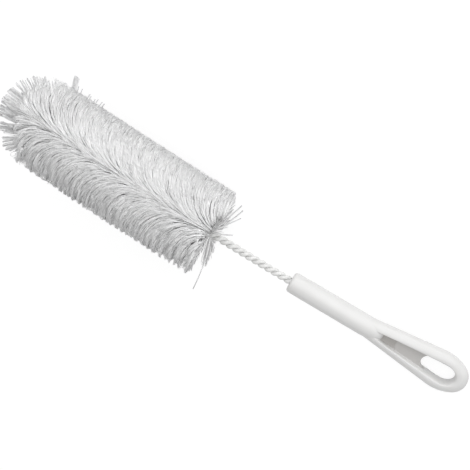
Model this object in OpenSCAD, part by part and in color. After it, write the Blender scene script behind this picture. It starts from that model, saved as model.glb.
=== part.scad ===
// Bottle brush: a twisted-in-wire head on a moulded handle with a hanging loop.
// It lies as it comes to rest on a table, on the rim of its head and the end of
// its loop. X runs along it from the fan to the loop, Z is up, and the origin is
// on the table, under the middle of the brush.

/* [Bristle head] */
// Radius that the bristles are trimmed to
head_r = 35.5; // [28:0.5:42]
// Turns of the twisted wire that grip bristles
head_turns = 14; // [10:1:18]
// Tufts in one turn, counted on one side of the sheet of filaments
turn_tufts = 28; // [20:2:32]
// How far the fan reaches past the end of the gripped filaments
fan_reach = 33; // [28:0.5:38]
// Length of the head behind the fan where the tufts lean forward
lean_len = 40; // [25:1:50]
// How far the last tufts flare towards the handle
rim_flare = 3; // [0:0.5:5]
// Width of a tuft at its cut end
tuft_w = 3.2; // [1.6:0.1:3.6]
// How unevenly the tufts are cut
trim_scatter = 1.4; // [0:0.1:2.5]
// Half-width of the pressed sheet of filaments before it parts into tufts
sheet_r = 5; // [4.8:0.1:6]
// Length of the brush that the sheet takes up at its edges
sheet_t = 0.5; // [0.3:0.02:0.7]
// How far the lowest bristles give under the weight of the brush
press_depth = 0.8; // [0:0.1:1.5]
// How far the stray tuft stands out of the trimmed head
stray_len = 8; // [0:0.5:16]
// Turn of the wire that holds the stray tuft, counted from the fan
stray_turn = 2; // [1:1:10]
// Which tuft of that turn stands out
stray_tuft = 18; // [1:1:20]

/* [Twisted wire] */
// Diameter of one coated strand
wire_d = 3; // [2.4:0.1:3.1]
// Length of the brush in one full turn of the twist
twist_lead = 11; // [10.5:0.1:14]
// Bare stem between the bristles and the handle
stem_len = 67; // [40:1:120]
// Thickness of the filaments squeezed between the strands
layer_t = 0.16; // [0.12:0.01:0.24]
// Length of the wire held inside the handle
wire_grip = 24; // [16:1:40]
// How far the wire is bent to one side at its tip, in an even bow
bow = 8; // [0:0.5:12]

/* [Handle] */
// Length of the handle
handle_len = 146; // [135:1:165]
// Diameter of the round grip
grip_d = 16; // [15:0.5:18]
// Length of the grip, up to the foot of its rounded nose
grip_len = 85; // [78:1:92]
// Width of the hanging loop
loop_w = 30; // [27:0.2:33]
// Thickness of the hanging loop
loop_t = 12; // [10:0.5:13]
// Width of the loop's rim at its end
rim_w = 10.3; // [9:0.1:12]
// Radius of the hanging hole at the end of the loop
hole_r = 6.9; // [6:0.1:7.4]
// Length of the hanging hole
hole_len = 26.4; // [20:0.2:30]
// Thickness of the web between the rails
web_t = 4; // [3:0.1:5]
// Depth of the step in the web, next to the nose of the grip
web_step = 0.5; // [0.2:0.1:0.8]

/* [Hidden] */
function turn_name(k) = str("bristle_turn_", k < 10 ? "0" : "", k);

// The strands wind left-handed
hand = -1;
// Where the sheet of filaments starts, in degrees about the axis
start_angle = 20;
// Gap between the flats of the two strands
strand_gap = 0.46;
// Gap between a strand and the filaments, over half the squeezed layer
layer_slack = 0.22;
// Gap round the wire in its socket
socket_gap = 0.1;

// ---- Lengths along the brush, from the outermost tips of the fan ----
core_start = fan_reach;
core_end = core_start + head_turns * twist_lead;
handle_start = core_end + stem_len;
brush_len = handle_start + handle_len;

// ---- How the brush rests ----
bead_r = loop_t / 2;
loop_rest_x = brush_len - bead_r;
rim_x = core_end + rim_flare;
rest_r = head_r - press_depth;
rest_span = loop_rest_x - rim_x;
tilt = atan2(rest_r, rest_span) - asin(bead_r / norm([rest_span, rest_r]));
axis_z = loop_rest_x * sin(tilt) + bead_r;

function settled(p) = [p[0] * cos(tilt) + p[2] * sin(tilt),
                       p[1],
                       axis_z - p[0] * sin(tilt) + p[2] * cos(tilt)];

// ---- Directions about the axis of the brush ----
function bowed(p) =
    let (u = max(0, handle_start - p[0]) / (handle_start - core_start))
    p + [0, bow * u * u, 0];
function out_dir(a) = [0, cos(a), sin(a)];
function round_dir(a) = [0, -sin(a), cos(a)];
function unit(v) = v / norm(v);

// An even scatter from -1 to 1 that is the same each time
function scatter(i, k) =
    let (v = sin(i * 127.1 + k * 311.7) * 43758.5453)
    2 * (v - floor(v)) - 1;

// ---- Bristles ----
step = twist_lead / turn_tufts;
step_angle = hand * 360 / turn_tufts;
steps = head_turns * turn_tufts;

// The sheet of filaments winds along the wire; side is 1 or -1, top is 1 or -1
function sheet_edge(j, side, top) =
    let (a = start_angle + j * step_angle)
    [core_start + j * step, 0, 0] + side * sheet_r * out_dir(a)
        + top / 2 * (layer_t * round_dir(a) - [side * hand * sheet_t, 0, 0]);

function sheet_core(j, top) =
    [core_start + j * step, 0, 0]
        + top * layer_t / 2 * round_dir(start_angle + j * step_angle);

// Length measured over the fan from its middle, and on along the cylinder
dome_arc = head_r * PI / 2;
fan_middle = 6;
lean_end = head_r + lean_len;
lean_root = lean_end - core_start;
lean_arc = dome_arc + lean_len;
function cut_arc(x) =
    let (q = (lean_end - x) / lean_root)
    x >= lean_end ? lean_arc + x - lean_end
                  : lean_arc - lean_root * q - (lean_arc - fan_middle - lean_root) * q * q;
// Slope of the cut surface: 0 at the middle of the fan, 90 on the cylinder
function cut_slope(arc) = min(90, 90 * arc / dome_arc);
// Place on the cut surface, as [along, out from the axis]
function cut_point(arc) =
    arc < dome_arc ? head_r * [1 - cos(cut_slope(arc)), sin(cut_slope(arc))]
                   : [head_r + arc - dome_arc, head_r];
function flare(x) = rim_flare * pow(max(0, 1 - (core_end - x) / twist_lead), 2);

// The stray tuft grows on the second side of the sheet
function is_stray(j, side) =
    side < 0 && j == (stray_turn - 1) * turn_tufts + stray_tuft - 1;

// How far a tuft may wander before it could meet its neighbours
room = 0.8;
// The cut ends slant the way that the sheet winds, by up to this many degrees
slant = 65;
// Neighbouring tufts lean together, in waves along the sheet
function wave(i, side) = (sin(i * 53 + side * 70) + sin(i * 31.7 + side * 20)) / 2;

// A bristle end never goes below the table: it bends there instead
function kept_up(root, tip) =
    let (low = settled(tip)[2], high = settled(root)[2])
    low >= 0 ? tip : root + (tip - root) * high / (high - low);

function tuft_root(j, side) =
    [core_start + (j + 0.5) * step, 0, 0]
        + side * sheet_r * out_dir(start_angle + (j + 0.5) * step_angle);

// Both corners of the cut end of the tuft on step j
function tuft_tips(j, side) =
    let (key = 2 * j + (side + 1) / 2,
         root = tuft_root(j, side),
         a = start_angle + (j + 0.5) * step_angle + (side > 0 ? 0 : 180),
         arc0 = cut_arc(root[0]),
         gap_l = (cut_arc(root[0] + twist_lead / 4) - cut_arc(root[0] - twist_lead / 4)) / 2,
         turned = slant * (1 + scatter(key, 1)) / 2,
         wide_l = sin(turned) * tuft_w / 2,
         wander = max(0, min(room * gap_l - wide_l, arc0 / 6)),
         arc = arc0 + wander * wave(j, side),
         at = cut_point(arc),
         half_l = min(wide_l, arc / 3),
         inner = at[1] - half_l * cos(cut_slope(arc)),
         sector = inner * sin(abs(step_angle) / 2) * room,
         half_w = min(cos(turned) * tuft_w / 2, sector),
         aside = (sector - half_w) * scatter(key, 3),
         along = [sin(cut_slope(arc)), 0, 0] + cos(cut_slope(arc)) * out_dir(a),
         middle = [at[0] + flare(root[0]), 0, 0] + at[1] * out_dir(a) + aside * round_dir(a),
         tip = is_stray(j, side) ? middle + stray_len * out_dir(a)
             : middle - trim_scatter * (1 + scatter(key, 4)) / 2 * unit(middle - root),
         half = hand * half_w * round_dir(a) - half_l * along)
    [bowed(kept_up(root, tip - half)), bowed(kept_up(root, tip + half))];

// Corners of the sheet at one place along it: top and bottom of one edge, then
// of the other. A pair of steps shares one stretch of the sheet's core.
TT = 0;
TB = 1;
UT = 2;
UB = 3;
function sheet_faces(b, e) =
    let (c = b + 4, d = b + 8, f = e + 2)
    [[b + TT, c + TT, e], [c + TT, d + TT, f], [c + TT, f, e],
     [e, c + UT, b + UT], [f, d + UT, c + UT], [e, f, c + UT],
     [b + TB, e + 1, c + TB], [c + TB, f + 1, d + TB], [c + TB, e + 1, f + 1],
     [e + 1, b + UB, c + UB], [f + 1, c + UB, d + UB], [e + 1, c + UB, f + 1]];
function tuft_faces(b, t) =
    let (c = b + 4)
    [[c + TT, b + TT, t], [c + TT, t, t + 1],
     [b + TB, c + TB, t + 1], [b + TB, t + 1, t],
     [b + TT, b + TB, t], [c + TB, c + TT, t + 1],
     [b + UT, c + UT, t + 3], [b + UT, t + 3, t + 2],
     [c + UB, b + UB, t + 2], [c + UB, t + 2, t + 3],
     [b + UB, b + UT, t + 2], [c + UT, c + UB, t + 3]];

// One turn of bristles, from the wire to its cut ends
module bristle_turn(k) {
    first = (k - 1) * turn_tufts;
    edges = [for (j = [0:turn_tufts], side = [1, -1], top = [1, -1])
                 bowed(sheet_edge(first + j, side, top))];
    core = [for (j = [0:2:turn_tufts], top = [1, -1]) bowed(sheet_core(first + j, top))];
    tips = [for (j = [0:turn_tufts - 1], side = [1, -1])
                each tuft_tips(first + j, side)];
    e = len(edges);
    t = e + len(core);
    faces = concat([for (j = [0:2:turn_tufts - 2]) each sheet_faces(4 * j, e + j)],
                   [for (j = [0:turn_tufts - 1]) each tuft_faces(4 * j, t + 4 * j)]);
    g = e - 4;
    h = t - 2;
    ends = [[TT, e, e + 1], [TT, e + 1, TB], [e, UT, UB], [e, UB, e + 1],
            [g + TT, g + TB, h + 1], [g + TT, h + 1, h],
            [h, h + 1, g + UB], [h, g + UB, g + UT]];
    color([0.93, 0.94, 0.96])
        polyhedron(points = concat(edges, core, tips), faces = concat(faces, ends));
}

// ---- Twisted wire ----
// A strand is swept as six flats, one of them towards the axis
flats = 6;
strand_r = wire_d / 2 * sqrt(PI / (flats / 2 * sin(360 / flats)));
flat_r = strand_r * cos(180 / flats);
stem_off = flat_r + strand_gap / 2;
head_off = stem_off + layer_t + layer_slack;
head_rings = 8;
stem_rings = 10;
bend_at = core_start - wire_d / 2;
bend_steps = 5;

// The strands close up behind the last bristles
function strand_off(x) =
    let (u = max(0, min(1, (x - core_end) / (twist_lead / 2))))
    head_off + (stem_off - head_off) * (1 - cos(180 * u)) / 2;
function strand_angle(x) =
    start_angle + 90 + hand * 360 * max(0, x - core_start) / twist_lead;

function stations(x0, x1, rings) =
    let (n = max(1, round((x1 - x0) / twist_lead * rings)))
    [for (i = [0:n - 1]) x0 + (x1 - x0) * i / n];
wire_x = concat([bend_at],
                stations(core_start, core_end, head_rings),
                stations(core_end, handle_start, stem_rings),
                stations(handle_start, handle_start + wire_grip, stem_rings),
                [handle_start + wire_grip]);

// Each ring is [place, outward direction]
function strand_ring(x, turned) =
    let (o = out_dir(strand_angle(x) + turned))
    [bowed([x, 0, 0] + strand_off(x) * o), o];
function bend_ring(b) =
    let (o = cos(b) * out_dir(start_angle + 90) - [sin(b), 0, 0])
    [bowed([bend_at, 0, 0] + head_off * o), o];
wire_path = concat([for (i = [len(wire_x) - 1:-1:0]) strand_ring(wire_x[i], 0)],
                   [for (i = [1:bend_steps]) bend_ring(180 * i / (bend_steps + 1))],
                   [for (i = [0:len(wire_x) - 1]) strand_ring(wire_x[i], 180)]);

function flat_ring(i) =
    let (last = len(wire_path) - 1,
         ahead = i == 0 ? [-1, 0, 0] : i == last ? [1, 0, 0]
             : unit(wire_path[i + 1][0] - wire_path[i - 1][0]),
         o = wire_path[i][1],
         n = unit(o - (o * ahead) * ahead),
         b = cross(ahead, n))
    [for (m = [0:flats - 1])
         let (a = 360 * (m + 0.5) / flats)
         wire_path[i][0] + strand_r * (cos(a) * n + sin(a) * b)];

module twisted_wire() {
    n = len(wire_path);
    points = [for (i = [0:n - 1]) each flat_ring(i)];
    sides = [for (i = [0:n - 2], m = [0:flats - 1])
                 let (p = flats * i + m, q = flats * i + (m + 1) % flats)
                 each [[p, p + flats, q + flats], [p, q + flats, q]]];
    ends = [[for (m = [0:flats - 1]) m],
            [for (m = [flats - 1:-1:0]) flats * (n - 1) + m]];
    color([0.9, 0.9, 0.9]) polyhedron(points = points, faces = concat(sides, ends));
}

// ---- Handle, along its own length from the end that holds the wire ----
grip_r = grip_d / 2;
face_round = 2.6;
nose_len = 22;
socket_r = norm([stem_off + flat_r, strand_r * sin(180 / flats)]) + socket_gap;
socket_len = wire_grip + 3 * socket_gap;

// The rim runs round the loop: straight rails, then two bends to its end
end_bend = 12.5;
side_bend = 30;
rail_lean = 7;
rail_start = grip_len - nose_len - 4;
end_x = handle_len - end_bend;
side_y = loop_w / 2 - side_bend;
side_x = end_x - sqrt(pow(side_bend - end_bend, 2) - side_y * side_y);
meet = atan2(-side_y, end_x - side_x);
hole_x = handle_len - rim_w - hole_r;
recess_lean = 3.8;
// The moulded opening is this much tighter than the straight land of the hole
land = 0.15;
// The rails keep at least this much inside their ridge, where they leave the grip
rail_least = 0.4;

// Each ring of the rim is [place, outward direction], from one rail's start to
// the middle of the loop's end
rail_bend = [side_x, side_y]
    + (side_bend - bead_r) * [sin(-rail_lean), cos(rail_lean)];
rail_run = (rail_bend[0] - rail_start) / cos(rail_lean);
rim_rings = concat(
    [for (u = [1:-0.25:0.25])
         [rail_bend - u * rail_run * [cos(rail_lean), sin(rail_lean)], 90 + rail_lean]],
    [for (i = [0:5])
         let (a = 90 + rail_lean + (meet - 90 - rail_lean) * i / 6)
         [[side_x, side_y] + (side_bend - bead_r) * [cos(a), sin(a)], a]],
    [for (i = [0:7])
         let (a = meet * (1 - i / 7))
         [[end_x, 0] + (end_bend - bead_r) * [cos(a), sin(a)], a]]);
half_rim = len(rim_rings);

// How far the rim reaches inwards: to the recess, then to the hole
function rim_inside(c, a) =
    let (n = [cos(a), sin(a)],
         d = c - [hole_x, 0],
         r = hole_r - land,
         wall = [-sin(recess_lean), cos(recess_lean)],
         t = (d * wall - r) / (n * wall),
         hit = d - t * n)
    a > recess_lean && hit * [cos(recess_lean), sin(recess_lean)] < 0
        ? max(rail_least, t) : d * n - sqrt(pow(d * n, 2) - d * d + r * r);

// Rounded outside, with a steeper wall inside
rim_sides = 16;
wall_power = 0.6;
function rim_corner(m, inside) =
    let (c = cos(360 * m / rim_sides), s = sin(360 * m / rim_sides))
    [c > 0 ? bead_r * c : -inside * pow(-c, wall_power), bead_r * s];

function rim_ring(i) =
    let (k = i < half_rim ? i : 2 * half_rim - 2 - i,
         flip = i < half_rim ? 1 : -1,
         at = rim_rings[k][0],
         a = rim_rings[k][1],
         inside = rim_inside(at, a))
    [for (m = [0:rim_sides - 1])
         let (p = rim_corner(m, inside), q = at + p[0] * [cos(a), sin(a)])
         [q[0], flip * q[1], p[1]]];

module rim() {
    n = 2 * half_rim - 1;
    points = [for (i = [0:n - 1]) each rim_ring(i)];
    sides = [for (i = [0:n - 2], m = [0:rim_sides - 1])
                 let (p = rim_sides * i + m, q = rim_sides * i + (m + 1) % rim_sides)
                 each [[p, p + rim_sides, q + rim_sides], [p, q + rim_sides, q]]];
    ends = [[for (m = [0:rim_sides - 1]) m],
            [for (m = [rim_sides - 1:-1:0]) rim_sides * (n - 1) + m]];
    polyhedron(points = points, faces = concat(sides, ends));
}

// The grip ends in a nose that sinks between the rails
function nose(u) = grip_r * pow(1 - pow(u, 2.6), 0.4);

module grip() {
    face = [for (b = [0:15:90])
                [grip_r - face_round * (1 - sin(b)), face_round * (1 - cos(b))]];
    round_nose = [for (u = [0:0.1:0.9]) [nose(u), grip_len - nose_len * (1 - u)]];
    foot = [for (u = [0.96, 0.99]) [nose(u), grip_len - nose_len * (1 - u)]];
    rotate([0, 90, 0])
        rotate_extrude($fn = 96)
            polygon(concat([[0, 0]], face, round_nose, foot, [[0, grip_len]]));
}

// The web fills the space between the rails up to the hole
web_bite = 0.6;
web_arc = hole_r - 1.1;
web_x = handle_len - rim_w - hole_len + web_arc;
web_start = grip_len - 5;
pad_r = 4.8;
pad_x = grip_len + 2.6 + pad_r;
function recess_y(x) =
    (hole_r - land - (hole_x - x) * sin(recess_lean)) / cos(recess_lean);

module web_plate(x0, t) {
    x1 = web_x - 1.5;
    y0 = recess_y(x0) + web_bite;
    y1 = recess_y(x1) + web_bite;
    translate([0, 0, -t / 2])
        linear_extrude(height = t)
            polygon([[x0, -y0], [x1, -y1], [x1, y1], [x0, y0]]);
}

module web() {
    difference() {
        union() {
            web_plate(web_start, web_t - 2 * web_step);
            web_plate(pad_x, web_t);
            translate([pad_x, 0, -web_t / 2]) cylinder(r = pad_r, h = web_t, $fn = 64);
        }
        translate([web_x, 0, -web_t]) cylinder(r = web_arc, h = 2 * web_t, $fn = 64);
    }
}

module handle() {
    color([0.96, 0.96, 0.95])
        difference() {
            union() {
                grip();
                rim();
                web();
            }
            translate([hole_x, 0, -loop_t])
                cylinder(r = hole_r, h = 2 * loop_t, $fn = 96);
            rotate([0, 90, 0])
                translate([0, 0, -grip_r])
                    cylinder(r = socket_r, h = grip_r + socket_len, $fn = 64);
        }
}

// ---- The brush as it lies ----
all_tips = [for (j = [0:steps - 1], side = [1, -1])
                each [for (p = tuft_tips(j, side)) settled(p)]];
shift = [-(min([for (p = all_tips) p[0]]) + loop_rest_x * cos(tilt) + bead_r) / 2,
         -(min([for (p = all_tips) p[1]]) + max([for (p = all_tips) p[1]])) / 2,
         axis_z];

module lying() {
    translate(shift) rotate([0, tilt, 0]) children();
}

lying() translate([handle_start, 0, 0]) handle();
lying() twisted_wire();
for (k = [1:head_turns]) {
    lying() bristle_turn(k);
}
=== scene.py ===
"""Looks of a bottle brush: its moulded handle, twisted wire and bristle head.

Sizes of the brush are in millimetres and become metres in Rest.place. Angles
are in radians, or in degrees where a name ends in deg.
"""
import logging
from dataclasses import dataclass
from enum import Enum
from math import atan2, cos, floor, pi, radians, sin, sqrt
from typing import NamedTuple

import bpy
import numpy as np
from bpy.types import Material, Node, NodeSocket as Socket, Object, World
from mathutils import Matrix, Vector
from numpy import ndarray


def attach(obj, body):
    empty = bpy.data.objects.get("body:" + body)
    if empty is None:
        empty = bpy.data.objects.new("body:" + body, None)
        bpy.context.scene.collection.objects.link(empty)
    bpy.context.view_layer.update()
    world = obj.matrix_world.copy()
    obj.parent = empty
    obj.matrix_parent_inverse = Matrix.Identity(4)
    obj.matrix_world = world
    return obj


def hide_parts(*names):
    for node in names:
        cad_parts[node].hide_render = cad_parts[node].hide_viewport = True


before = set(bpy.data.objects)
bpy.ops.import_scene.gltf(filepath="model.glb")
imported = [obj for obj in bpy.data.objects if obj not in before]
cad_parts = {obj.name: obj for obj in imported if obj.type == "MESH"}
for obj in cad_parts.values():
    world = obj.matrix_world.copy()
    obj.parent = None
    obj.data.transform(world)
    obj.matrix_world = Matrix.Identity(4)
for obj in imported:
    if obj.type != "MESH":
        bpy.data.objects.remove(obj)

LOG = logging.getLogger("brush")
MM = 0.001
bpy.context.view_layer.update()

Pair = tuple[float, float]
Triple = tuple[float, float, float]
Faces = list[list[int]]
Shell = tuple[list[list[float]], Faces]
Rng = np.random.Generator


# ---------- the frame
@dataclass(frozen=True)
class Rest:
    """How the brush lies, whose own frame has X from the fan to the loop."""

    tilt_deg: float = 7.99196
    shift: Triple = (-198.434, -6.26094, 60.7795)
    bow: float = 8.0
    bow_start: float = 254.0
    bow_end: float = 33.0

    def place(self, points: ndarray) -> ndarray:
        """Moves points from the brush's own frame to the table.

        Args:
            points: Points in millimetres, one in a row.

        Returns:
            The points in metres, in the shared frame.
        """
        t = radians(self.tilt_deg)
        c, s = cos(t), sin(t)
        x, y, z = points.T
        u = np.maximum(0, self.bow_start - x) / (self.bow_start - self.bow_end)
        laid = np.stack([x * c + z * s, y + self.bow * u * u, z * c - x * s], -1)
        return (laid + self.shift) * MM


@dataclass(frozen=True)
class Twist:
    """The twist that the wire and the filaments share."""

    start: float = 33.0
    turns: int = 14
    lead: float = 11.0
    start_deg: float = 20.0
    hand: int = -1

    @property
    def end(self) -> float:
        """Returns where the last filaments are held."""
        return self.start + self.turns * self.lead


REST = Rest()
TWIST = Twist()


def out_dir(angle: ndarray) -> ndarray:
    """Returns the directions away from the axis at these angles, in radians."""
    a = np.asarray(angle, float)
    return np.stack([np.zeros_like(a), np.cos(a), np.sin(a)], -1)


def unit(v: ndarray) -> ndarray:
    """Returns vectors scaled to length one."""
    return v / np.maximum(np.linalg.norm(v, axis=-1, keepdims=True), 1e-12)


def share(depth: ndarray | float, width: float) -> ndarray | float:
    """Returns how much of a width a depth takes up, from 0 to 1."""
    return np.clip(depth / width, 0, 1)


def scatter(i: float, k: float) -> float:
    """Returns a scatter from -1 to 1 that is the same each time."""
    v = sin(radians((i * 127.1 + k * 311.7) % 360.0)) * 43758.5453
    return 2 * (v - floor(v)) - 1


def tube_faces(rings: int, sides: int) -> Faces:
    """Lists the faces of a tube.

    Args:
        rings: Number of its rings of corners.
        sides: Number of corners in a ring.

    Returns:
        The corner numbers of each face, ring by ring, and then of both ends.
    """
    last = (rings - 1) * sides
    faces = [[i + m, i + (m + 1) % sides, i + sides + (m + 1) % sides, i + sides + m]
             for i in range(0, last, sides) for m in range(sides)]
    return faces + [list(range(sides))[::-1], list(range(last, last + sides))]


def add_object(data: bpy.types.ID) -> Object:
    """Adds an object to the scene.

    Args:
        data: Its mesh, lamp or camera, which gives it its name too.

    Returns:
        The object.
    """
    item = bpy.data.objects.new(data.name, data)
    bpy.context.scene.collection.objects.link(item)
    return item


def add_mesh(name: str, vertices: ndarray, faces: Faces) -> Object:
    """Adds a mesh object to the scene.

    Args:
        name: Its name.
        vertices: Its points in metres.
        faces: Corner numbers of each face.

    Returns:
        The object.
    """
    mesh = bpy.data.meshes.new(name)
    mesh.from_pydata(vertices.tolist(), [], faces)
    return add_object(mesh)


def settle_piece(piece: Object, material: Material, node: str) -> None:
    """Smooths a piece, gives it its finish and says what it rides on.

    Args:
        piece: The piece.
        material: Its finish.
        node: CAD node that it stands for.
    """
    mesh = piece.data
    mesh.validate()
    mesh.update()
    mesh.polygons.foreach_set("use_smooth", [True] * len(mesh.polygons))
    mesh.materials.append(material)
    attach(piece, "root")
    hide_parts(node)
    LOG.info("%s: %d faces, stands for %s", piece.name, len(mesh.polygons), node)


# ---------- finishes
class Nodes:
    """A helper that writes the node graph of a material or of the world."""

    def __init__(self, owner: Material | World) -> None:
        """Starts an empty graph with its output.

        Args:
            owner: The material or the world.
        """
        owner.use_nodes = True
        self.owner, self.tree = owner, owner.node_tree
        self.tree.nodes.clear()
        kind = "World" if isinstance(owner, World) else "Material"
        self.output = self.add(f"Output{kind}")

    def add(self, kind: str, **values: object) -> Node:
        """Adds a node and sets its sockets or properties by name.

        Args:
            kind: Blender's type name of the node, after ShaderNode.
            values: Values by socket name, with _ for a space, or by property.

        Returns:
            The new node.
        """
        node = self.tree.nodes.new("ShaderNode" + kind)
        for key, value in values.items():
            socket = key.replace("_", " ")
            if socket in node.inputs:
                node.inputs[socket].default_value = value
            else:
                setattr(node, key, value)
        return node

    def link(self, source: Socket, target: Socket) -> None:
        """Joins two sockets."""
        self.tree.links.new(source, target)

    def finish(self, shader: Node) -> Material | World:
        """Ends the graph in a shader, and returns its owner."""
        self.link(shader.outputs[0], self.output.inputs["Surface"])
        return self.owner

    def noise(self, scale: float, detail: float) -> Socket:
        """Adds a noise in the shared frame.

        Args:
            scale: Cells in a metre.
            detail: Octaves of the noise.

        Returns:
            Its value.
        """
        place = self.add("TexCoord").outputs["Object"]
        noise = self.add("TexNoise", Scale=scale, Detail=detail, Roughness=0.55)
        self.link(place, noise.inputs["Vector"])
        return noise.outputs["Fac"]

    def ramp(self, value: Socket, low: float, high: float,
             start: float = 0.3, end: float = 0.7) -> Socket:
        """Maps a value, such as a noise, to the numbers between low and high.

        Args:
            value: The value.
            low: Result up to the start.
            high: Result from the end on.
            start: Value that the ramp starts at.
            end: Value that it ends at.

        Returns:
            The result.
        """
        node = self.add("MapRange", From_Min=start, From_Max=end, To_Min=low, To_Max=high)
        self.link(value, node.inputs["Value"])
        return node.outputs["Result"]

    def blend(self, factor: Socket, first: Triple | Socket, second: Triple) -> Socket:
        """Blends two colours.

        Args:
            factor: The second colour's share.
            first: The first colour.
            second: The second colour.

        Returns:
            The blended colour.
        """
        node = self.add("Mix", data_type="RGBA")
        level, one, two = node.inputs[0], node.inputs[6], node.inputs[7]
        if isinstance(first, Socket):
            self.link(first, one)
        else:
            one.default_value = (*first, 1.0)
        two.default_value = (*second, 1.0)
        self.link(factor, level)
        return node.outputs[2]

    def mix(self, factor: Socket, first: Node, second: Node) -> Node:
        """Mixes two shaders.

        Args:
            factor: The second shader's share.
            first: The first shader.
            second: The second shader.

        Returns:
            The mixed shader.
        """
        node = self.add("MixShader")
        for source, target in zip((factor, first.outputs[0], second.outputs[0]), node.inputs):
            self.link(source, target)
        return node

    def bump(self, height: Socket, distance: float) -> Socket:
        """Adds a bump.

        Args:
            height: The height, from 0 to 1.
            distance: What a height of 1 is in metres.

        Returns:
            The bent normal.
        """
        node = self.add("Bump", Strength=1.0, Distance=distance)
        self.link(height, node.inputs["Height"])
        return node.outputs["Normal"]

    def seen_by_eye(self) -> Socket:
        """Tests what a ray is for.

        Returns:
            1 for camera, glossy and transmission rays, and 0 for others.
        """
        path = self.add("LightPath")
        last = path.outputs["Is Camera Ray"]
        for name in ("Is Glossy Ray", "Is Transmission Ray"):
            both = self.add("Math", operation="MAXIMUM")
            self.link(last, both.inputs[0])
            self.link(path.outputs[name], both.inputs[1])
            last = both.outputs[0]
        return last


@dataclass(frozen=True)
class FilamentFinish:
    """Finish of the drawn plastic filaments: smooth, with painted shade that greys the tips."""

    dark: Triple = (0.95, 0.95, 0.953)
    light: Triple = (1.0, 1.0, 1.0)
    # Painted shade: the grey that the tips turn to
    end: Triple = (0.66, 0.66, 0.67)
    roughness: float = 0.5
    sheen: float = 0.25
    own_share: float = 0.7
    clump_share: float = 0.3
    clump: float = 420.0

    def build(self) -> Material:
        """Builds the material, with painted shade greying it by the tip attribute.

        Returns:
            The material.
        """
        g = Nodes(bpy.data.materials.new("filament"))
        shader = g.add("BsdfPrincipled", Roughness=self.roughness, IOR=1.5,
                       Specular_IOR_Level=self.sheen)
        both = g.add("Math", operation="ADD")
        each = g.add("NewGeometry").outputs["Random Per Island"]
        g.link(g.ramp(each, 0.0, self.own_share, 0.0, 1.0), both.inputs[0])
        g.link(g.ramp(g.noise(self.clump, 2.0), 0.0, self.clump_share), both.inputs[1])
        body = g.blend(both.outputs[0], self.dark, self.light)
        # Painted shade: the tip attribute greys the filaments towards their tips
        tip = g.add("Attribute", attribute_name="tip").outputs["Fac"]
        g.link(g.blend(tip, body, self.end), shader.inputs["Base Color"])
        return g.finish(shader)


@dataclass(frozen=True)
class UnevenFinish:
    """Finish whose tone, gloss and surface vary a little from place to place.

    A grain is the cells in a metre and the octaves of a noise. The colour thin is painted shade,
    laid by the web attribute on the recess where shade falls.
    """

    name: str
    dark: Triple
    light: Triple
    tone_grain: Pair
    roughness: Pair
    gloss_grain: Pair
    ripple_grain: Pair
    ripple_depth: float
    ior: float = 1.5
    # Painted shade: a darker, warmer colour for the handle's recess, laid by the web attribute
    thin: Triple | None = None
    depth_share: float = 0.0
    depth_reach: Triple = (1.0, 0.95, 0.9)

    def build(self) -> Material:
        """Builds the material.

        Returns:
            The material.
        """
        g = Nodes(bpy.data.materials.new(self.name))
        shader = g.add("BsdfPrincipled", IOR=self.ior, Subsurface_Scale=MM,
                       Subsurface_Weight=self.depth_share, Subsurface_Radius=self.depth_reach)
        tone = g.blend(g.ramp(g.noise(*self.tone_grain), 0.0, 1.0), self.dark, self.light)
        # Painted shade: the web attribute darkens the recess
        if self.thin is not None:
            web = g.add("Attribute", attribute_name="web").outputs["Fac"]
            tone = g.blend(web, tone, self.thin)
        g.link(tone, shader.inputs["Base Color"])
        g.link(g.ramp(g.noise(*self.gloss_grain), *self.roughness), shader.inputs["Roughness"])
        g.link(g.bump(g.noise(*self.ripple_grain), self.ripple_depth), shader.inputs["Normal"])
        return g.finish(shader)


# The satin coat on the wire, and the glossy moulded plastic of the handle, with painted shade in
# its recess
COAT = UnevenFinish("wire_coat", (0.70, 0.70, 0.69), (0.80, 0.80, 0.795), (260.0, 4.0),
                    (0.34, 0.48), (700.0, 2.0), (900.0, 2.0), 0.00008)
MOULDED = UnevenFinish("moulded_white", (0.685, 0.682, 0.676), (0.715, 0.713, 0.707), (40.0, 2.0),
                       (0.32, 0.41), (500.0, 3.0), (55.0, 2.0), 0.00012, ior=1.49,
                       thin=(0.42, 0.405, 0.39), depth_share=0.08)


@dataclass(frozen=True)
class FloorFinish:
    """Finish of the pale floor: white to the eye, with a soft shadow."""

    bounce: float = 0.7
    grain: float = 0.01
    shadow: float = 0.2
    glow: float = 0.86

    def build(self) -> Material:
        """Builds the material.

        Returns:
            The material.
        """
        g = Nodes(bpy.data.materials.new("floor_white"))
        seen = g.add("AddShader")
        shade = g.add("BsdfDiffuse", Color=(self.shadow,) * 3 + (1.0,))
        glow = g.add("Emission", Strength=self.glow)
        g.link(shade.outputs[0], seen.inputs[0])
        g.link(glow.outputs[0], seen.inputs[1])
        bounce = g.add("BsdfDiffuse")
        g.link(g.ramp(g.noise(30.0, 2.0), self.bounce - self.grain, self.bounce + self.grain),
               bounce.inputs["Color"])
        return g.finish(g.mix(g.seen_by_eye(), bounce, seen))


# ---------- bristle head
class Side(Enum):
    """Sides of the sheet of filaments that the wire holds."""

    FIRST = 1
    SECOND = -1


class Filaments(NamedTuple):
    """Where filaments leave the wire and are aimed, with a row for each.

    They end beyond the cut surface by their cut, and their flare is how far
    they lean to the handle there.
    """

    root: ndarray
    arcs: ndarray
    angles: ndarray
    cut: ndarray
    flare: ndarray

    def only(self, mask: ndarray) -> "Filaments":
        """Returns the filaments that a mask keeps."""
        return Filaments(*(values[mask] for values in self))


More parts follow.
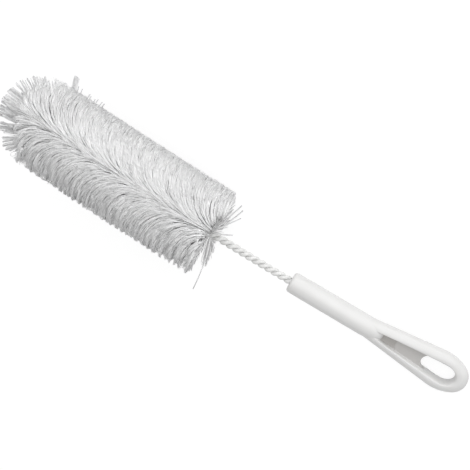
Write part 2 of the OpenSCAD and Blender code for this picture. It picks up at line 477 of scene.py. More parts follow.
@dataclass
class BristleHead:
    """The twisted-in head: filaments in tufts, trimmed to a round end.

    Filaments near the parting are combed over, to the fan and to the sides,
    and the others stand straight out. An arc is a length on the cut surface,
    from the middle of the fan over the round end and along the head.
    """

    # Sizes that the solids have too
    head_r: float = 35.5
    turn_tufts: int = 28
    lean_len: float = 40.0
    rim_flare: float = 3.0
    tuft_w: float = 3.2
    trim: float = 1.4
    fan_middle: float = 6.0
    # The tuft that stands out of the head: its length, place and filaments
    stray_len: float = 8.0
    stray_lean: float = 6.0
    stray_turn: int = 2
    stray_tuft: int = 18
    stray_more: int = 3
    # The filaments: how many, how thick, and how they leave the wire
    filament_d: float = 0.36
    thick: Pair = (0.85, 1.2)
    per_tuft: int = 28
    rings: int = 5
    root_r: float = 0.9
    root_swing: float = 0.03
    root_side: float = 0.25
    roll_share: float = 0.25
    table_gap: float = 1.2
    sweep: float = 0.8
    start_lean: float = 0.25
    tip_bend: float = 0.12
    bend_at: float = 0.33
    bow: float = 0.4
    # The tufts: how wide they spread, and how they lean to the fan
    tip_scatter: float = 0.35
    trim_share: float = 0.35
    cut_vary: Pair = (0.5, 1.8)
    flare_vary: float = 0.15
    any_spread: Pair = (1.1, 0.6)
    stray_spread: Pair = (1.3, 1.5)
    turned_deg: float = 65.0
    even_share: Pair = (0.45, 1.0)
    open_arc: Pair = (38.0, 64.0)
    spoke_shrink: float = 0.55
    lean: float = 3.0
    lean_in: Pair = (8.0, 25.0)
    lean_out: Pair = (2.0, 22.0)
    lean_side: float = 2.5
    lean_side_deg: float = 152.0
    # Bunches that the tips draw into, in spokes round the open fan
    bunch_len: float = 4.7
    spoke_len: float = 6.8
    bunch_turn: float = 3.0
    bunch_sway: tuple[Triple, ...] = ((1.4, 7.3, 2.0), (0.9, 2.9, -1.0))
    sway_fade: float = 0.85
    uneven: Triple = (0.28, 8.3, 2.1)
    bunch_draw: float = 0.6
    spoke_draw: float = 0.8
    bunch_notch: float = 3.0
    bunch_fine: float = 0.25
    fine_deg: float = 69.0
    # The parting and the layer combed from it; turns, pelt and its cut are for
    # the angles past the parting and for those before it
    part_deg: float = 66.0
    part_half_deg: float = 84.0
    part_turn_deg: Pair = (16.0, 18.0)
    part_scatter: float = 0.05
    gather: float = 0.68
    run_len: float = 24.0
    run_rings: int = 4
    run_loss: float = 0.6
    run_vary: Pair = (0.75, 1.1)
    end_fade: float = 16.0
    end_fade_deg: float = 25.0
    rises: Pair = (0.4, 0.72)
    pelt: Pair = (2.0, 1.2)
    pelt_vary: Pair = (0.3, 1.3)
    pelt_cut: Pair = (1.0, 0.4)
    pelt_bow: float = 0.3
    upright_share: float = 0.06
    upright_more: float = 0.5
    upright_deg: Pair = (50.0, 25.0)
    # Loose hairs: x and angle in degrees at the wire, arc that they are aimed
    # at, how far beyond the cut surface and ahead of it they end, and bow
    hair_thick: float = 2.8
    loose_hairs: tuple[tuple[float, ...], ...] = (
        (48, -22, 62, 3, 6, 2), (50, -26, 65, 3, 9, 1), (52, -18, 67, 2, 10, 3),
        (55, -24, 70, 3, 12, 2), (57, -28, 72, 3, 15, 2), (46, -24, 57, 3, 3, 1),
        (53, -30, 66, 2, 13, 1), (49, -20, 60, 3, 5, 2), (58, -22, 77, 3, 9, 1),
        (186, 150, 215, 6.5, 1, 2), (186, 146, 208, -4, 0, -3), (186, -30, 209, -6, 6, 0),
        (186, -20, 209, -9, 9, 1), (185, -10, 208, -14, 12, 0), (186, 40, 208, -20, 14, 1))
    finish: FilamentFinish = FilamentFinish()
    # How much painted shade greys the tips: off the parting by the angle, and in the fan
    grey_power: float = 1.2
    grey_least: float = 0.2
    grey_from: float = 0.7
    grey_fan: Pair = (1.3, 45.0)
    seed: int = 11

    def __post_init__(self) -> None:
        """Works out the lengths and angles that follow from the others."""
        self.dome_arc = self.head_r * pi / 2
        self.lean_end = self.head_r + self.lean_len
        self.lean_root = self.lean_end - TWIST.start
        self.lean_arc = self.dome_arc + self.lean_len
        self.end_arc = self.lean_arc + TWIST.end - self.lean_end
        self.open_span = self.open_arc[1] - self.open_arc[0]
        self.step = TWIST.lead / self.turn_tufts
        self.step_angle = TWIST.hand * 2 * pi / self.turn_tufts
        self.stray_number = (self.stray_turn - 1) * self.turn_tufts + self.stray_tuft - 1
        self.part = radians(self.part_deg)
        self.part_half = radians(self.part_half_deg)
        self.part_turn = tuple(radians(a) for a in self.part_turn_deg)

    def cut_arc(self, x: ndarray) -> ndarray:
        """Finds where filaments are cut that leave the wire at x.

        Args:
            x: Places along the wire.

        Returns:
            Their arcs, which lean ever more to the fan as it comes nearer.
        """
        q = (self.lean_end - x) / self.lean_root
        more = self.lean_arc - self.fan_middle - self.lean_root
        near = self.lean_arc - self.lean_root * q - more * q * q
        return np.where(x >= self.lean_end, self.lean_arc + x - self.lean_end, near)

    def cut_surface(self, arc: ndarray, angle: ndarray) -> ndarray:
        """Finds places on the cut surface.

        Args:
            arc: Their arcs.
            angle: Their angles about the axis.

        Returns:
            Points in the brush's own frame.
        """
        slope = np.minimum(pi / 2, np.maximum(arc, 0.3) / self.head_r)
        point = self.head_r * np.sin(slope)[:, None] * out_dir(angle)
        point[:, 0] = np.where(arc < self.dome_arc, self.head_r * (1 - np.cos(slope)),
                               self.head_r + arc - self.dome_arc)
        return point

    def radius_at(self, arcs: ndarray, least: float = 4.0) -> ndarray:
        """Returns the radius of the cut surface at these arcs, or the least one."""
        return np.maximum(self.head_r * np.sin(np.minimum(arcs / self.head_r, pi / 2)), least)

    def openness(self, arcs: ndarray) -> ndarray:
        """Returns how open the fan is at these arcs, from 0 on the head to 1."""
        return share(self.open_arc[1] - arcs, self.open_span)

    def from_parting(self, angles: ndarray) -> ndarray:
        """Returns angles about the axis as counted from the parting."""
        return (angles - self.part + pi) % (2 * pi) - pi

    def lean_at(self, x: float, angle: float) -> float:
        """Finds how much more a tuft leans to the fan, less at both ends.

        Args:
            x: Where the tuft leaves the wire.
            angle: Its angle about the axis.

        Returns:
            The length along the head.
        """
        onset = share(x - TWIST.start - self.lean_in[0], self.lean_in[1])
        stop = share(TWIST.end - self.lean_out[0] - x, self.lean_out[1])
        more = self.lean_side * cos(angle - radians(self.lean_side_deg))
        return (self.lean + more) * onset * stop

    def flare(self, x: float) -> float:
        """Returns how far the tufts at x lean to the handle, as the last ones do."""
        return self.rim_flare * np.maximum(0, 1 - (TWIST.end - x) / TWIST.lead) ** 2

    def bunched(self, arcs: ndarray, angles: ndarray) -> tuple[ndarray, ndarray]:
        """Draws tips together into bunches, with notches between them.

        Args:
            arcs: Arcs that the filaments are aimed at.
            angles: Their angles about the axis.

        Returns:
            The shift of each arc, and the depth of a notch there.
        """
        fan = self.openness(arcs)
        phase = self.bunch_turn * angles
        for swing, length, turn in self.bunch_sway:
            phase = phase + swing * np.sin(arcs / length + turn * angles)
        spacing = np.where(fan > 0, self.spoke_len, self.bunch_len)
        phase *= 1 - self.sway_fade * fan
        phase = 2 * pi * (arcs - self.open_arc[1]) / spacing + phase
        wrapped = (phase + pi) % (2 * pi) - pi
        off = self.from_parting(angles)
        fine = (off < 0) & (off > -radians(self.fine_deg))
        much = np.where(fine, self.bunch_fine, 1.0)
        swing, length, turn = self.uneven
        much *= 1 - swing + swing * np.sin(arcs / length + turn * angles)
        draw = -self.bunch_draw * much * np.sin(phase)
        draw += fan * (-self.spoke_draw * self.spoke_len * wrapped / (2 * pi) - draw)
        return draw, self.bunch_notch * much * ((1 - np.cos(phase)) / 2) ** 2

    def standing(self, aim: Filaments, rng: Rng) -> ndarray:
        """Bends filaments that stand out from the wire to their tips.

        Args:
            aim: The filaments.
            rng: Source of the bows.

        Returns:
            Array of shape (filaments, rings, 3).
        """
        root, outward = aim.root, out_dir(aim.angles)
        tip = self.cut_surface(aim.arcs, aim.angles)
        tip[:, 0] += aim.flare
        tip += aim.cut[:, None] * unit(tip - root)
        length = np.linalg.norm(tip - root, axis=1, keepdims=True)
        straight = unit(tip - root)
        start = unit(outward + self.sweep * straight - (self.start_lean, 0, 0))
        near = (root + start * length * self.bend_at)[:, None]
        far = (tip - unit(straight + self.tip_bend * outward) * length * self.bend_at)[:, None]
        t = np.linspace(0, 1, self.rings)[None, :, None]
        path = ((1 - t) ** 3 * root[:, None] + 3 * t * (1 - t) ** 2 * near
                + 3 * t * t * (1 - t) * far + t ** 3 * tip[:, None])
        bow = rng.normal(0, self.bow, (len(root), 3))
        return path + np.sin(pi * t) * bow[:, None]

    def combed(self, aim: Filaments, rng: Rng) -> ndarray:
        """Lays filaments over from the parting, to the fan and to the sides.

        They rise almost to the cut surface and run under it, up to their tips.

        Args:
            aim: The filaments.
            rng: Source of the scatter.

        Returns:
            Array of shape (filaments, points, 3).
        """
        root, arcs, n = aim.root, aim.arcs, len(aim.root)
        off = self.from_parting(aim.angles)
        past = off + rng.normal(0, self.part_scatter, n) > 0
        side = np.where(past, 1.0, -1.0)
        off = np.abs(off)
        off *= 1 - self.gather * (1 - off / self.part_half)
        turn_in = np.where(past, *self.part_turn)
        run = self.run_len * (1 - self.run_loss * (off / self.part_half) ** 2)
        run *= rng.uniform(*self.run_vary, n)
        run *= np.clip((arcs - self.open_arc[0]) / self.open_span, 0.05, 1)
        ahead = share(self.end_arc - arcs, self.end_fade)
        ahead = 1 - (1 - ahead) * share(off, radians(self.end_fade_deg))
        surface = self.cut_surface(arcs, aim.angles)
        surface[:, 0] += aim.flare
        points = [root] + [root + rise * (surface - root) for rise in self.rises]
        depth = np.where(past, *self.pelt) * rng.uniform(*self.pelt_vary, n)
        cut = aim.cut * np.where(past, *self.pelt_cut)
        for k in range(self.run_rings + 1):
            done = k / self.run_rings
            top = self.cut_surface(arcs, self.part + side * off)
            top[:, 0] += aim.flare * (1 - done)
            lift = 1 - depth * (1 - done) / self.head_r + cut / self.head_r * done
            points.append(root + lift[:, None] * (top - root))
            beta = pi / 2 * (1 - np.exp(-off / turn_in))
            radius = self.radius_at(arcs, 6.0)
            arcs = np.maximum(arcs - np.cos(beta) * ahead * run / self.run_rings, 1.0)
            off = off + np.sin(beta) * run / self.run_rings / radius
        path = np.stack(points, 1)
        for _ in range(2):
            path[:, 1:-1] = (path[:, :-2] + 2 * path[:, 1:-1] + path[:, 2:]) / 4
        t = np.linspace(0, 1, path.shape[1])[None, :, None]
        bow = rng.normal(0, self.pelt_bow, (n, 3))
        return path + np.sin(pi * t) * bow[:, None]

    def hairs(self, k: int) -> ndarray:
        """Bends the loose hairs that one turn grips.

        Args:
            k: Number of the turn, from the fan.

        Returns:
            Array of shape (hairs, rings, 3).
        """
        first = TWIST.start + (k - 1) * TWIST.lead
        t = np.linspace(0, 1, self.rings)[:, None]
        paths = []
        for x, angle, arc, beyond, ahead, bow in self.loose_hairs:
            if not first <= x < first + TWIST.lead:
                continue
            a = np.array([radians(angle)])
            outward = out_dir(a)[0]
            tip = self.cut_surface(np.array([arc]), a)[0] + (ahead, 0, 0) + beyond * outward
            root = self.root_r * outward + (x, 0, 0)
            paths.append(root + t * (tip - root) + np.sin(pi * t) * bow * (1, 0, 0))
        return np.array(paths).reshape(-1, self.rings, 3)

    def tubes(self, path: ndarray, thick: ndarray, rng: Rng) -> tuple[ndarray, ndarray]:
        """Wraps three-sided tubes round the filaments, a flat side outwards.

        Args:
            path: Array of shape (filaments, rings, 3).
            thick: Each one's thickness, as a share of the usual one.
            rng: Source of each one's roll.

        Returns:
            The corners in metres, and the faces as quads.
        """
        n, rings = path.shape[:2]
        world = REST.place(path.reshape(-1, 3)).reshape(n, rings, 3)
        r = (self.filament_d / 2 * MM * thick)[:, None]
        world[:, :, 2] = np.maximum(world[:, :, 2], r * self.table_gap)
        ahead = unit(np.gradient(world, axis=1))
        roll = out_dir(rng.uniform(0, 2 * pi, n))[:, None]
        outward = unit(path * (0, 1, 1) + 1e-3 * roll)
        aside = unit(np.cross(ahead, outward + self.roll_share * roll))[:, :, None]
        other = np.cross(ahead[:, :, None], aside)
        turn = (2 * pi * np.arange(3) / 3 + pi / 2)[:, None]
        ring = aside * np.cos(turn) + other * np.sin(turn)
        vertices = (world[:, :, None] + r[:, :, None, None] * ring).reshape(-1, 3)
        i = 3 * rings * np.arange(n)[:, None, None] + 3 * np.arange(rings - 1)[None, :, None]
        m = np.arange(3)[None, None, :]
        q = (m + 1) % 3
        quads = np.stack([i + m, i + q, i + 3 + q, i + 3 + m], -1)
        return vertices, quads.reshape(-1, 4)

    def painted_tip_shade(self, arcs: ndarray, angles: ndarray, rng: Rng) -> ndarray:
        """Tells how much painted shade greys the tips, more so off the parting and in the fan.

        Args:
            arcs: Arcs that the filaments are aimed at.
            angles: Their angles about the axis.
            rng: Source of the scatter.

        Returns:
            A share from 0 to 1 for each.
        """
        most, length = self.grey_fan
        side = share(np.abs(self.from_parting(angles)) - self.grey_from, 1) ** 2
        grey = rng.random(len(arcs)) ** self.grey_power
        grey *= self.grey_least + (1 - self.grey_least) * side
        return np.maximum(grey, np.clip(most - arcs / length, 0, 1))

    def build_turn(self, k: int, material: Material) -> Object:
        """Builds the filaments that one turn of the wire grips.

        Args:
            k: Number of the turn, from the fan.
            material: Finish of the filaments.

        Returns:
            Its piece.
        """
        rng = np.random.default_rng(self.seed * 100 + k)
        tufts = [Tuft(self, j, side).lay(rng)
                 for j in range((k - 1) * self.turn_tufts, k * self.turn_tufts)
                 for side in Side]
        aim = Filaments(*(np.concatenate(values) for values in zip(*tufts)))
        off = np.abs(self.from_parting(aim.angles))
        first, width = np.radians(self.upright_deg)
        steep = share(off - first, width)
        laid = off < self.part_half
        laid &= rng.random(len(off)) > self.upright_share + self.upright_more * steep
        vertices, faces, tips = [], [], []
        for mask, bend in ((laid, self.combed), (~laid, self.standing)):
            some = aim.only(mask)
            path = bend(some, rng)
            arcs, angles, thick = some.arcs, some.angles, rng.uniform(*self.thick, len(path))
            loose = self.hairs(k) if bend == self.standing else path[:0]
            h = len(loose)
            path = np.concatenate([path, loose])
            points, quads = self.tubes(path, np.append(thick, [self.hair_thick] * h), rng)
            base = sum(len(v) for v in vertices)
            last = base + 3 * path.shape[1] * (np.arange(len(path)) + 1) - 3
            faces += (quads + base).tolist() + np.stack([last, last + 1, last + 2], -1).tolist()
            vertices.append(points)
            # Painted shade: greyer tips off the parting, in the fan and on the loose hairs
            grey = self.painted_tip_shade(np.append(arcs, arcs[:h]), np.append(angles, angles[:h]), rng)
            grey[len(path) - h:] = 1.0
            near = np.linspace(0, 1, path.shape[1]) ** 2
            tips.append(np.repeat((grey[:, None] * near).ravel(), 3))
        piece = add_mesh(f"filaments_{k:02d}", np.concatenate(vertices), faces)
        settle_piece(piece, material, f"bristle_turn_{k:02d}")
        tip = piece.data.attributes.new("tip", "FLOAT", "POINT")
        tip.data.foreach_set("value", np.concatenate(tips))
        return piece

    def build(self) -> list[Object]:
        """Builds all the turns, and returns their pieces from the fan on."""
        material = self.finish.build()
        return [self.build_turn(k, material) for k in range(1, TWIST.turns + 1)]


@dataclass
class Tuft:
    """One tuft: where the wire grips it, and where its filaments are aimed."""

    head: BristleHead
    number: int
    side: Side

    def __post_init__(self) -> None:
        """Works out the tuft's place on the wire and on the cut surface."""
        head, middle = self.head, self.number + 0.5
        self.key = 2 * self.number + (self.side.value + 1) / 2
        self.stray = self.side is Side.SECOND and self.number == head.stray_number
        self.x = TWIST.start + middle * head.step
        self.angle = radians(TWIST.start_deg) + middle * head.step_angle
        self.angle += 0.0 if self.side is Side.FIRST else pi
        self.arc = float(head.cut_arc(self.x))
        self.arc -= 0.0 if self.stray else head.lean_at(self.x, self.angle)
        first, last = head.cut_arc(self.x + np.array([-1, 1]) * TWIST.lead / 4)
        self.gap = float(last - first) / 2
        self.opened = float(head.openness(self.arc))

    def aim(self, n: int, rng: Rng) -> tuple[ndarray, ndarray]:
        """Spreads the filaments over a strip, and some evenly round about.

        Args:
            n: Number of filaments.
            rng: Source of the scatter.

        Returns:
            The arcs and the angles that they are aimed at.
        """
        head, j, side = self.head, self.number, self.side.value
        turned = radians(head.turned_deg * (1 + scatter(self.key, 1)) / 2)
        wide = sin(turned) * head.tuft_w / 2
        wander = max(0.0, min(0.8 * self.gap - wide, self.arc / 6)) * (0.5 + 0.5 * self.opened)
        wave = (sin(radians(j * 53 + side * 70)) + sin(radians(j * 31.7 + side * 20))) / 2
        arc = self.arc + wander * wave
        half_l = min(wide, arc / 3)
        half_w = cos(turned) * head.tuft_w / 2
        off = head.from_parting(self.angle)
        even = head.even_share[0 if 0 < off < pi / 2 else 1] * (1 - self.opened)
        shrink = 1 - (0 if self.stray else head.spoke_shrink) * self.opened
        v = rng.uniform(-1, 1, n)
        loose = rng.random(n) < (0.0 if self.stray else even)
        d_arc = (-v * half_l + rng.normal(0, head.tip_scatter, n)) * shrink
        d_round = (TWIST.hand * v * half_w + rng.normal(0, head.tip_scatter, n)) * shrink
        far, wide = head.any_spread
        any_arc = self.arc - arc + rng.uniform(-1, 1, n) * self.gap * far
        any_round = rng.uniform(-wide, wide, n) * abs(head.step_angle) * head.radius_at(self.arc)
        d_arc, d_round = np.where(loose, any_arc, d_arc), np.where(loose, any_round, d_round)
        if self.stray:
            d_arc, d_round = head.stray_spread[0] * d_arc, head.stray_spread[1] * d_round
        arcs = np.maximum(arc + d_arc, 0.5)
        return arcs, self.angle + d_round / head.radius_at(arcs)

    def lay(self, rng: Rng) -> Filaments:
        """Lays out the tuft's filaments.

        Args:
            rng: Source of the scatter.

        Returns:
            The filaments.
        """
        head = self.head
        n = head.per_tuft * (head.stray_more if self.stray else 1)
        arcs, angles = self.aim(n, rng)
        bunch, notch = head.bunched(arcs, angles)
        arcs = np.maximum(arcs + (0 if self.stray else bunch), 0.5)
        root = np.zeros((n, 3))
        root[:, 0] = self.x + rng.uniform(-0.5, 0.5, n) * head.step * 2
        outward = out_dir(self.angle + rng.normal(0, head.root_swing, n))
        aside = rng.uniform(-head.root_side, head.root_side, n)[:, None]
        root += head.root_r * outward + np.cross((1, 0, 0), outward) * aside
        cut = -head.trim * head.trim_share * (1 + scatter(self.key, 4))
        cut = cut - np.abs(rng.normal(0, head.cut_vary[0], n)) - notch
        if self.stray:
            cut = head.stray_len + 1 - np.abs(rng.normal(0, head.cut_vary[1], n))
        flare = head.flare(self.x) * (1 + head.flare_vary * rng.normal(0, 1, n))
        return Filaments(root, arcs, angles, cut, flare + (head.stray_lean if self.stray else 0))


# ---------- twisted wire
@dataclass
class TwistedWire:
    """The wire: one hairpin whose two strands wind round each other.

    The strands stand a little further apart where they hold the filaments.
    """

    wire_d: float = 3.0
    grip_end: float = 278.0
    stem_off: float = 1.6
    head_off: float = 1.9
    bend_gap: float = 0.4
    bend_step_deg: int = 15
    sides: int = 16
    pitch: float = 0.75
    corner_angle: float = 0.3
    finish: UnevenFinish = COAT

    def offset(self, x: ndarray) -> ndarray:
        """Returns how far a strand's middle stands from the axis at x."""
        u = share(x - TWIST.end, TWIST.lead / 2)
        return self.head_off + (self.stem_off - self.head_off) * (1 - np.cos(pi * u)) / 2

    def strand(self, turned_deg: float) -> ndarray:
        """Lays one strand.

        Args:
            turned_deg: Angle from the first strand to this one.

        Returns:
            Its middle line, from the fan on.
        """
        x = np.arange(TWIST.start, self.grip_end, self.pitch)
        a = radians(TWIST.start_deg + 90 + turned_deg)
        a = a + TWIST.hand * 2 * pi * (x - TWIST.start) / TWIST.lead
        line = self.offset(x)[:, None] * out_dir(a)
        line[:, 0] = x
        return line

    def hairpin(self) -> ndarray:
        """Lays both strands and the bend between them, in the fan.

        Returns:
            The middle line of the whole wire.
        """
        first, second = self.strand(0.0), self.strand(180.0)
        b = np.radians(np.arange(self.bend_step_deg, 180, self.bend_step_deg))
        a = np.full(len(b), radians(TWIST.start_deg + 90))
        bend = self.head_off * np.cos(b)[:, None] * out_dir(a)
        bend[:, 0] = TWIST.start - self.bend_gap - self.head_off * np.sin(b)
        return np.concatenate([first[::-1], bend, second])

    def build(self) -> Object:
        """Builds the wire as one tube, whose corners run along without a twist.

        Returns:
            Its piece.
        """
        line = self.hairpin()
        ahead = unit(np.gradient(line, axis=0))
        normal = np.empty_like(line)
        last = out_dir(np.array([self.corner_angle]))[0]
        for i, d in enumerate(ahead):
            last = last - d * float(last @ d)
            last /= np.linalg.norm(last)
            normal[i] = last
        other = np.cross(ahead, normal)
        turn = (2 * pi * np.arange(self.sides) / self.sides)[:, None]
        ring = normal[:, None] * np.cos(turn) + other[:, None] * np.sin(turn)
        vertices = REST.place((line[:, None] + self.wire_d / 2 * ring).reshape(-1, 3))
        piece = add_mesh("wire", vertices, tube_faces(len(line), self.sides))
        settle_piece(piece, self.finish.build(), "twisted_wire")
        return piece


# ---------- handle
def along(angle: float) -> ndarray:
    """Returns the direction in the handle's plane at this angle, in radians."""
    return np.array([cos(angle), sin(angle)])


@dataclass
class Handle:
    """The moulded handle: a round grip whose rim runs round a hanging hole.

    In its own frame its face is at 0, and the loop lies in the plane z = 0.
    """

    # The grip, its socket, and the nose that ends it in the recess
    start: float = 254.0
    length: float = 146.0
    grip_r: float = 8.0
    grip_len: float = 85.0
    face_round: float = 2.6
    nose_len: float = 20.0
    nose_end: float = 78.0
    nose_powers: Pair = (2.6, 0.4)
    socket_r: float = 3.2
    socket_len: float = 24.3
    # The rim: its rails, which lean apart, and the loop's bends
    loop_w: float = 30.0
    bead_r: float = 6.0
    bead_power: float = 0.6
    bead_least: float = 0.4
    rim_w: float = 10.3
    end_bend: float = 12.5
    side_bend: float = 30.0
    rail_lean_deg: float = 7.0
    rail_start: float = 59.0
    # The hole, and the web's two plates in the recess
    hole_r: float = 6.9
    hole_len: float = 26.4
    recess_lean_deg: float = 3.8
    web_t: float = 4.0
    web_step: float = 0.5
    web_less: float = 1.1
    web_bite: float = 0.6
    web_under: float = 5.0
    step_at: float = 2.6
    step_round: float = 4.8
    # How much less painted shade the thicker plate of the web gets
    step_less: float = 0.28
    # How finely the shells are cut, and how they are fused
    rim_sides: int = 64
    grip_sides: int = 160
    point_r: float = 0.01
    enlarge: float = 10.0
    voxel: float = 0.3
    relax: float = 0.5
    relax_rounds: int = 4
    kept: float = 0.6
    finish: UnevenFinish = MOULDED

    def __post_init__(self) -> None:
        """Works out the places that follow from the sizes."""
        self.end_x = self.length - self.end_bend
        self.side_y = self.loop_w / 2 - self.side_bend
        between = self.side_bend - self.end_bend
        self.side_x = self.end_x - sqrt(between ** 2 - self.side_y ** 2)
        self.meet = atan2(-self.side_y, self.end_x - self.side_x)
        self.hole_x = self.length - self.rim_w - self.hole_r
        self.web_x = self.length - self.rim_w - self.hole_len + self.hole_r - self.web_less

    def rim_line(self) -> list[tuple[ndarray, float]]:
        """Draws the ridge of half the rim: its rail, side bend and end bend.

        Returns:
            Its places, each with the angle that is outwards there.
        """
        lean = radians(self.rail_lean_deg)
        side, end = np.array([self.side_x, self.side_y]), np.array([self.end_x, 0.0])
        side_r, end_r = self.side_bend - self.bead_r, self.end_bend - self.bead_r
        bend = side + side_r * along(lean + pi / 2)
        run = (bend[0] - self.rail_start) / cos(lean)
        line = [(bend - u * run * along(lean), pi / 2 + lean) for u in np.linspace(1, 0.02, 40)]
        for u in np.linspace(0, 1, 25)[:-1]:
            a = pi / 2 + lean + (self.meet - pi / 2 - lean) * u
            line.append((side + side_r * along(a), a))
        for u in np.linspace(0, 1, 25):
            a = self.meet * (1 - u)
            line.append((end + end_r * along(a), a))
        return line

    def reach_in(self, at: ndarray, a: float) -> float:
        """Finds how far the rim reaches inwards, to the recess or the hole.

        Args:
            at: Place on the rim's ridge.
            a: Angle that is outwards there.

        Returns:
            The length.
        """
        n, lean = along(a), radians(self.recess_lean_deg)
        d = at - (self.hole_x, 0)
        if a > lean:
            wall = along(lean + pi / 2)
            t = float((d @ wall - self.hole_r) / (n @ wall))
            if (d - t * n) @ along(lean) < 0:
                return max(self.bead_least, t)
        dn = float(d @ n)
        return dn - sqrt(max(dn * dn - float(d @ d) + self.hole_r ** 2, 0))

    def recess_half(self, x: ndarray | float) -> ndarray | float:
        """Returns the half-width of the recess at x."""
        lean = radians(self.recess_lean_deg)
        return (self.hole_r - (self.hole_x - x) * sin(lean)) / cos(lean)

    def rim(self) -> Shell:
        """Builds the rim, round outside and squarer inside.

        Returns:
            Its vertices and faces.
        """
        half = [(at, a, self.reach_in(at, a), 1) for at, a in self.rim_line()]
        rings = half + [(at, a, w, -1) for at, a, w, _ in half[-2::-1]]
        turn = 2 * pi * np.arange(self.rim_sides) / self.rim_sides
        c, s = np.cos(turn), np.sin(turn)
        points = []
        for at, a, inside, flip in rings:
            w = np.where(c > 0, self.bead_r * c, -inside * np.abs(c) ** self.bead_power)
            x = at[0] + w * cos(a)
            y = flip * (at[1] + w * sin(a))
            points += np.stack([x, y, self.bead_r * s], -1).tolist()
        return points, [face[::-1] for face in tube_faces(len(rings), self.rim_sides)]

    def grip(self) -> Shell:
        """Builds the grip with its socket and nose, turned about the axis.

        Returns:
            Its vertices and faces.
        """
        one, two = self.nose_powers
        profile = [(self.point_r, self.socket_len), (self.socket_r, self.socket_len),
                   (self.socket_r, 0.0)]
        profile += [(self.grip_r - self.face_round * (1 - sin(t)),
                     self.face_round * (1 - cos(t))) for t in np.linspace(0, pi / 2, 13)]
        profile += [(self.grip_r * (1 - u ** one) ** two, self.nose_end - self.nose_len * (1 - u))
                    for u in np.linspace(0, 1, 60)[:-1]]
        profile.append((self.point_r, self.nose_end))
        turn = 2 * pi * np.arange(self.grip_sides) / self.grip_sides
        points = [[x, r * cos(t), r * sin(t)] for r, x in profile for t in turn]
        return points, tube_faces(len(profile), self.grip_sides)

    def plate(self, start: float, thick: float, round_r: float) -> Shell:
        """Builds a plate of the web, from its start to the hole.

        Args:
            start: Where it starts.
            thick: Its thickness.
            round_r: Radius of its rounded start, or 0 for a straight one.

        Returns:
            Its vertices and faces.
        """
        def bulge(radius: float, y: float) -> float:
            """Returns how far a circle reaches along the handle at y."""
            return sqrt(max(radius ** 2 - min(abs(y), radius) ** 2, 0.0))

        near, far = (self.recess_half(x) + self.web_bite for x in (start, self.web_x))
        outline = [(self.web_x - bulge(self.hole_r - self.web_less, t * far), t * far)
                   for t in np.linspace(-1, 1, 33)]
        outline += [(start + round_r - bulge(round_r, t * near), t * near)
                    for t in (np.linspace(1, -1, 25) if round_r else (1, -1))]
        points = [[x, y, z] for z in (-thick / 2, thick / 2) for x, y in outline]
        return points, tube_faces(2, len(outline))

    def fused(self) -> Object:
        """Fuses the shells into one smooth moulding, still enlarged.

        Returns:
            The object.
        """
        points, faces = [], []
        for shell_points, shell_faces in (
                self.rim(), self.grip(),
                self.plate(self.nose_end - self.web_under, self.web_t - 2 * self.web_step, 0.0),
                self.plate(self.grip_len + self.step_at, self.web_t, self.step_round)):
            base = len(points)
            points += shell_points
            faces += [[base + i for i in face] for face in shell_faces]
        piece = add_mesh("moulded_handle", np.array(points) * MM * self.enlarge, faces)
        fuse = piece.modifiers.new("fuse", "REMESH")
        fuse.mode = "VOXEL"
        fuse.voxel_size = self.voxel * MM * self.enlarge
        relax = piece.modifiers.new("relax", "SMOOTH")
        relax.factor = self.relax
        relax.iterations = self.relax_rounds
        thin = piece.modifiers.new("thin", "DECIMATE")
        thin.ratio = self.kept
        graph = bpy.context.evaluated_depsgraph_get()
        done = bpy.data.meshes.new_from_object(piece.evaluated_get(graph))
        piece.modifiers.clear()
        piece.data = done
        return piece

    def painted_recess_shade(self, points: ndarray) -> ndarray:
        """Tells which points lie on the web, whose recess gets painted shade.

        Args:
            points: Points in the handle's own frame.

        Returns:
            The painted shade: 0 off the web, 1 on its thin plate and less on its thicker one.
        """
        x, y, z = points.T
        web = share(self.web_t / 2 + 0.5 - np.abs(z), 0.4)
        web *= share(self.recess_half(x) + 0.1 - np.abs(y), 0.5)
        web *= share(self.web_x + 0.6 - x, 0.5) * share(x - self.nose_end + 6, 3)
        thin = share(self.grip_len + self.step_at + 0.8 - x, 0.8)
        return web * (1 - self.step_less + self.step_less * thin)

    def build(self) -> Object:
        """Builds the handle, marks its web for painted shade and lays it on the table.

        Returns:
            Its piece.
        """
        piece = self.fused()
        mesh = piece.data
        co = np.empty(len(mesh.vertices) * 3)
        mesh.vertices.foreach_get("co", co)
        points = co.reshape(-1, 3) / (MM * self.enlarge)
        # The web attribute carries the painted shade of the recess
        web = mesh.attributes.new("web", "FLOAT", "POINT")
        web.data.foreach_set("value", self.painted_recess_shade(points))
        points += (self.start, 0, 0)
        mesh.vertices.foreach_set("co", REST.place(points).ravel())
        settle_piece(piece, self.finish.build(), "handle")
        return piece


# ---------- studio
class Lamp(NamedTuple):
    """A soft square lamp: its place and side in metres, its power in watts."""

    name: str
    place: Triple
    size: float
    power: float

    def add(self) -> None:
        """Adds the lamp, which shines on the brush."""
        data = bpy.data.lights.new(self.name, "AREA")
        data.size = self.size
        data.energy = self.power
        lamp = add_object(data)
        lamp.location = self.place
        lamp.rotation_euler = (-Vector(self.place)).to_track_quat("-Z", "Y").to_euler()


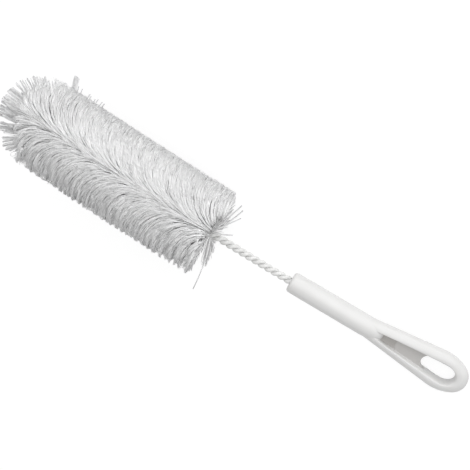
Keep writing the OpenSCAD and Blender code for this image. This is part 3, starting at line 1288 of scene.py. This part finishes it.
@dataclass
class Studio:
    """The floor, the light and the camera; lengths are in metres."""

    eye: Triple = (0.1692, 0.2988, 0.7010)
    aim: Triple = (-0.00164, -0.0027, 0.020)
    roll_deg: float = 28.07
    lens: float = 78.4
    sensor: float = 36.0
    ambient: Pair = (0.54, 0.76)
    lamps: tuple[Lamp, ...] = (Lamp("key", (0.12, 1.15, 0.54), 1.1, 6.8),
                               Lamp("fill", (0.26, 0.46, 1.08), 0.6, 3.0))
    floor_half: float = 3.0
    floor: FloorFinish = FloorFinish()

    def add_floor(self) -> None:
        """Adds the floor."""
        w = self.floor_half
        corners = np.array([(-w, -w, 0), (w, -w, 0), (w, w, 0), (-w, w, 0)])
        ground = add_mesh("floor", corners, [[0, 1, 2, 3]])
        ground.data.materials.append(self.floor.build())

    def add_world(self) -> None:
        """Sets a pale light from all around, weaker from the side of -Y."""
        world = bpy.data.worlds.new("studio")
        bpy.context.scene.world = world
        g = Nodes(world)
        split = g.add("SeparateXYZ")
        g.link(g.add("TexCoord").outputs["Generated"], split.inputs[0])
        soft = g.add("Background", Color=(1, 1, 1, 1))
        white = g.add("Background", Color=(1, 1, 1, 1), Strength=1.0)
        g.link(g.ramp(split.outputs["Y"], *self.ambient, -1.0, 1.0), soft.inputs["Strength"])
        g.finish(g.mix(g.seen_by_eye(), soft, white))

    def add_camera(self) -> None:
        """Adds the camera, turned about its line of sight."""
        data = bpy.data.cameras.new("camera")
        data.sensor_width = self.sensor
        data.lens = self.lens
        data.clip_start = 0.01
        camera = add_object(data)
        eye, aim = Vector(self.eye), Vector(self.aim)
        ahead = (aim - eye).normalized()
        right = ahead.cross(Vector((0, 1, 0))).normalized()
        up = right.cross(ahead)
        c, s = cos(radians(self.roll_deg)), sin(radians(self.roll_deg))
        x, y = c * right + s * up, -s * right + c * up
        turn = Matrix((x, y, -ahead)).transposed()
        camera.matrix_world = Matrix.Translation(eye) @ turn.to_4x4()
        bpy.context.scene.camera = camera

    def build(self) -> None:
        """Sets up the whole studio."""
        bpy.context.scene.view_settings.view_transform = "Standard"
        self.add_floor()
        self.add_world()
        for lamp in self.lamps:
            lamp.add()
        self.add_camera()


def main() -> None:
    """Builds every piece in order, then the studio."""
    logging.basicConfig(level=logging.INFO, format="%(name)s: %(message)s")
    handle = Handle().build()
    wire = TwistedWire().build()
    filaments = BristleHead().build()
    LOG.info("pieces: %s, %s and %d turns of filaments", handle.name, wire.name, len(filaments))
    Studio().build()


if __name__ == "__main__":
    main()
